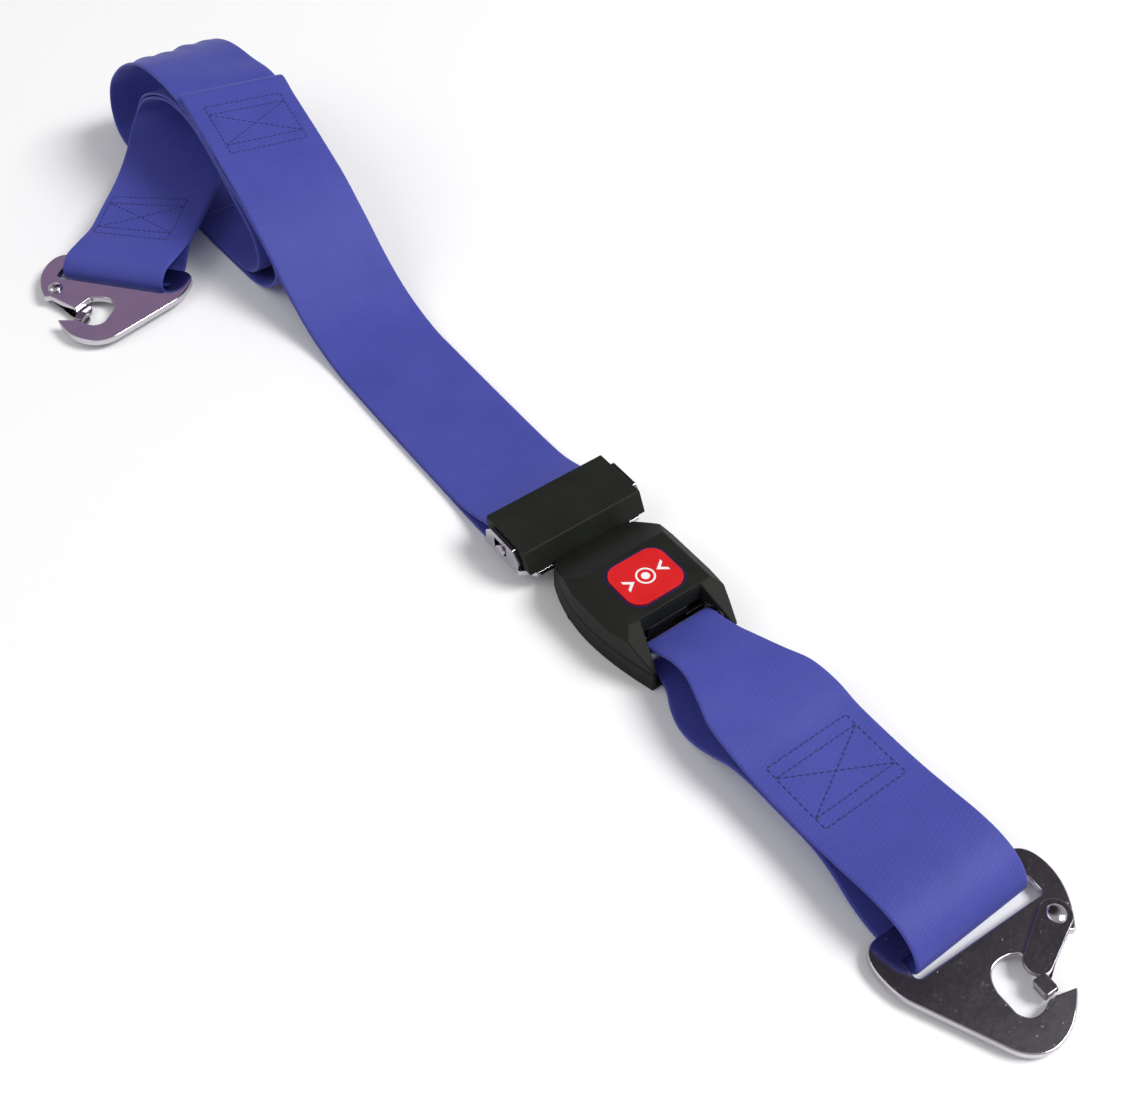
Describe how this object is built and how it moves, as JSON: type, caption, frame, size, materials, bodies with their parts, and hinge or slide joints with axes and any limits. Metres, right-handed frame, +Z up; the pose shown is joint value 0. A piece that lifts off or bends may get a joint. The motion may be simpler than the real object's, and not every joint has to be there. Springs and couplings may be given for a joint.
{
  "type": "restraint strap",
  "caption": "Webbing restraint strap laid flat with a raised folded loop, joined by a push-button buckle and slide-bar adjuster, with a sprung hook clip at each end.",
  "frame": {"origin": "centre of the strap's footprint on the surface it lies on", "axes": "+X along the straight part of the strap towards the short end's clip, +Z up, +Y away from the side the other clip points to"},
  "size_m": [0.6394, 0.1492, 0.0636],
  "materials": {
    "blue_webbing": "woven",
    "black_plastic": "fine grain",
    "red_plastic": "satin",
    "bright_chrome": "polished",
    "inner_steel": "plain"
  },
  "bodies": {
    "buckle": {"buckle_upper_cover": "black_plastic", "buckle_lower_cover": "black_plastic", "buckle_frame": "inner_steel", "strap_bar": "inner_steel", "latch_leaf": "inner_steel", "latch_rivet_right": "inner_steel", "latch_rivet_left": "inner_steel", "cover_screw_1": "inner_steel", "cover_screw_2": "inner_steel", "cover_screw_3": "inner_steel", "cover_screw_4": "inner_steel", "button_spring_right": "inner_steel", "button_spring_left": "inner_steel", "ejector_spring": "inner_steel"},
    "push_button": {"push_button": "red_plastic"},
    "ejector": {"ejector": "black_plastic"},
    "tongue": {"tongue_plate": "bright_chrome", "adjuster_cover": "black_plastic", "long_strap_wrap": "blue_webbing"},
    "lock_bar": {"lock_bar": "bright_chrome"},
    "long_strap": {"long_strap_upper": "blue_webbing", "long_strap_lower": "blue_webbing", "long_strap_loop": "blue_webbing", "long_strap_fold": "blue_webbing", "long_strap_inner_fold": "blue_webbing", "long_strap_clip_loop": "blue_webbing", "long_strap_lining": "blue_webbing"},
    "far_clip": {"far_clip_plate": "bright_chrome", "far_clip_rivet": "bright_chrome", "far_gate_spring": "inner_steel"},
    "far_gate": {"far_clip_gate": "bright_chrome"},
    "short_strap": {"short_strap": "blue_webbing"},
    "near_clip": {"near_clip_plate": "bright_chrome", "near_clip_rivet": "bright_chrome", "near_gate_spring": "inner_steel"},
    "near_gate": {"near_clip_gate": "bright_chrome"}
  },
  "joints": [
    {"name": "button_press", "type": "slide", "parent": "buckle", "child": "push_button", "axis": [0, 0, -1], "range_m": [0, 0.003], "stiffness_N_per_m": 1500, "springref_m": -0.003, "deforming": ["button_spring_right", "button_spring_left", "latch_leaf"]},
    {"name": "tongue_draw", "type": "slide", "parent": "buckle", "child": "tongue", "axis": [-1, 0, 0], "range_m": [0, 0.045]},
    {"name": "ejector_follow", "type": "slide", "parent": "buckle", "child": "ejector", "axis": [-1, 0, 0], "range_m": [0, 0.008], "deforming": ["ejector_spring"]},
    {"name": "lock_bar_slide", "type": "slide", "parent": "tongue", "child": "lock_bar", "axis": [-1, 0, 0], "range_m": [0, 0.0022]},
    {"name": "long_strap_lift", "type": "hinge", "parent": "tongue", "child": "long_strap", "pos_m": [0.04413, 0.03532, 0.0102], "axis": [0, 1, 0], "range_deg": [0, 25]},
    {"name": "far_clip_swing", "type": "hinge", "parent": "long_strap", "child": "far_clip", "pos_m": [-0.2033, -0.02995, 0.0032], "axis": [-0.7641, -0.6451, 0], "range_deg": [0, 30]},
    {"name": "far_gate_open", "type": "hinge", "parent": "far_clip", "child": "far_gate", "pos_m": [-0.20455, -0.06567, 0.0047], "axis": [0, 0, 1], "range_deg": [0, 24], "stiffness_Nm_per_rad": 0.02, "springref_deg": -17.19},
    {"name": "short_strap_lift", "type": "hinge", "parent": "buckle", "child": "short_strap", "pos_m": [0.13263, 0.03612, 0.0085], "axis": [0, -1, 0], "range_deg": [0, 25]},
    {"name": "near_clip_swing", "type": "hinge", "parent": "short_strap", "child": "near_clip", "pos_m": [0.26246, 0.03885, 0.002], "axis": [-0.0558, -0.9984, 0], "range_deg": [0, 30]},
    {"name": "near_gate_open", "type": "hinge", "parent": "near_clip", "child": "near_gate", "pos_m": [0.29026, 0.06134, 0.0035], "axis": [0, 0, -1], "range_deg": [0, 24], "stiffness_Nm_per_rad": 0.02, "springref_deg": -17.19}
  ],
  "couplings": [
    {"joint": "ejector_follow", "follows": "tongue_draw", "ratio": 0.1777}
  ]
}
